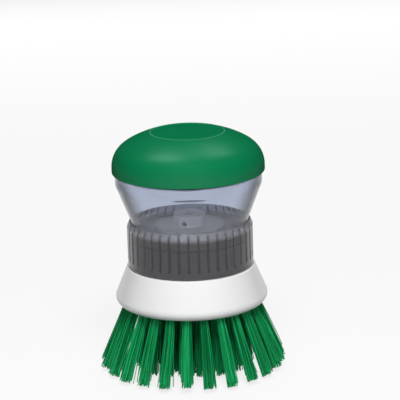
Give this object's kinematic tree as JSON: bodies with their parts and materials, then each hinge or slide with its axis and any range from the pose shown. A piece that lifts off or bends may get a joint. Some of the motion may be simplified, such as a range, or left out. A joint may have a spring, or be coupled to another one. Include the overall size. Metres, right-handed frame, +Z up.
{
  "type": "palm brush",
  "caption": "Round palm brush with outward-leaning bristle tufts, a screw-on clear soap bowl and a sprung domed cap that is pressed to let soap out.",
  "frame": {"origin": "on the brush's axis, on the plane that the bristle tips stand on", "axes": "+Z up along the axis, from the bristle tips to the press cap; X and Y are across the round body"},
  "size_m": [0.0876, 0.0876, 0.1123],
  "materials": {
    "cap_green": "satin moulded plastic with a fine texture",
    "clear_plastic": "clear, faintly lavender, polished",
    "smoky_plastic": "smoky grey, see-through in thin places",
    "white_plastic": "white, slightly glossy",
    "bristle_green": "fine nylon filaments",
    "grey_plastic": "plain moulded, light grey",
    "natural_plastic": "plain moulded",
    "seal_rubber": "soft seal",
    "spring_steel": "bright wire"
  },
  "bodies": {
    "brush_base": {"brush_block": "white_plastic", "tuft_anchors": "spring_steel", "valve_deck": "grey_plastic", "plug_seal": "seal_rubber", "outlet_nut": "grey_plastic", "valve_spring": "spring_steel", "tuft_outer_01": "bristle_green", "tuft_outer_02": "bristle_green", "tuft_outer_03": "bristle_green", "tuft_outer_04": "bristle_green", "tuft_outer_05": "bristle_green", "tuft_outer_06": "bristle_green", "tuft_outer_07": "bristle_green", "tuft_outer_08": "bristle_green", "tuft_outer_09": "bristle_green", "tuft_outer_10": "bristle_green", "tuft_outer_11": "bristle_green", "tuft_outer_12": "bristle_green", "tuft_outer_13": "bristle_green", "tuft_outer_14": "bristle_green", "tuft_outer_15": "bristle_green", "tuft_outer_16": "bristle_green", "tuft_outer_17": "bristle_green", "tuft_outer_18": "bristle_green", "tuft_outer_19": "bristle_green", "tuft_outer_20": "bristle_green", "tuft_outer_21": "bristle_green", "tuft_outer_22": "bristle_green", "tuft_outer_23": "bristle_green", "tuft_outer_24": "bristle_green", "tuft_ring_inner": "bristle_green", "tuft_ring_centre": "bristle_green"},
    "neck_gasket": {"neck_gasket": "seal_rubber"},
    "reservoir": {"reservoir": "clear_plastic", "coupling_collar": "smoky_plastic", "pump_deck": "natural_plastic", "return_spring": "spring_steel"},
    "press_cap": {"press_cap": "cap_green", "cap_carrier": "natural_plastic", "piston_seal": "seal_rubber", "stem_retainer": "spring_steel", "air_inlet_flap": "seal_rubber"},
    "outlet_valve": {"valve_poppet": "natural_plastic", "poppet_seal": "seal_rubber"}
  },
  "joints": [
    {"name": "reservoir_lift", "type": "slide", "parent": "brush_base", "child": "neck_gasket", "axis": [0, 0, 1], "range_m": [0, 0.006]},
    {"name": "reservoir_twist", "type": "hinge", "parent": "neck_gasket", "child": "reservoir", "pos_m": [0, 0, 0.05], "axis": [0, 0, 1], "range_deg": [0, 540]},
    {"name": "cap_press", "type": "slide", "parent": "reservoir", "child": "press_cap", "axis": [0, 0, -1], "range_m": [0, 0.004], "stiffness_N_per_m": 900, "springref_m": -0.003, "deforming": ["return_spring"]},
    {"name": "valve_open", "type": "slide", "parent": "brush_base", "child": "outlet_valve", "axis": [0, 0, -1], "range_m": [0, 0.0012], "deforming": ["valve_spring"]}
  ],
  "couplings": [
    {"joint": "reservoir_lift", "follows": "reservoir_twist", "m_per_rad": 0.0006366},
    {"joint": "valve_open", "follows": "cap_press", "ratio": 0.3}
  ]
}
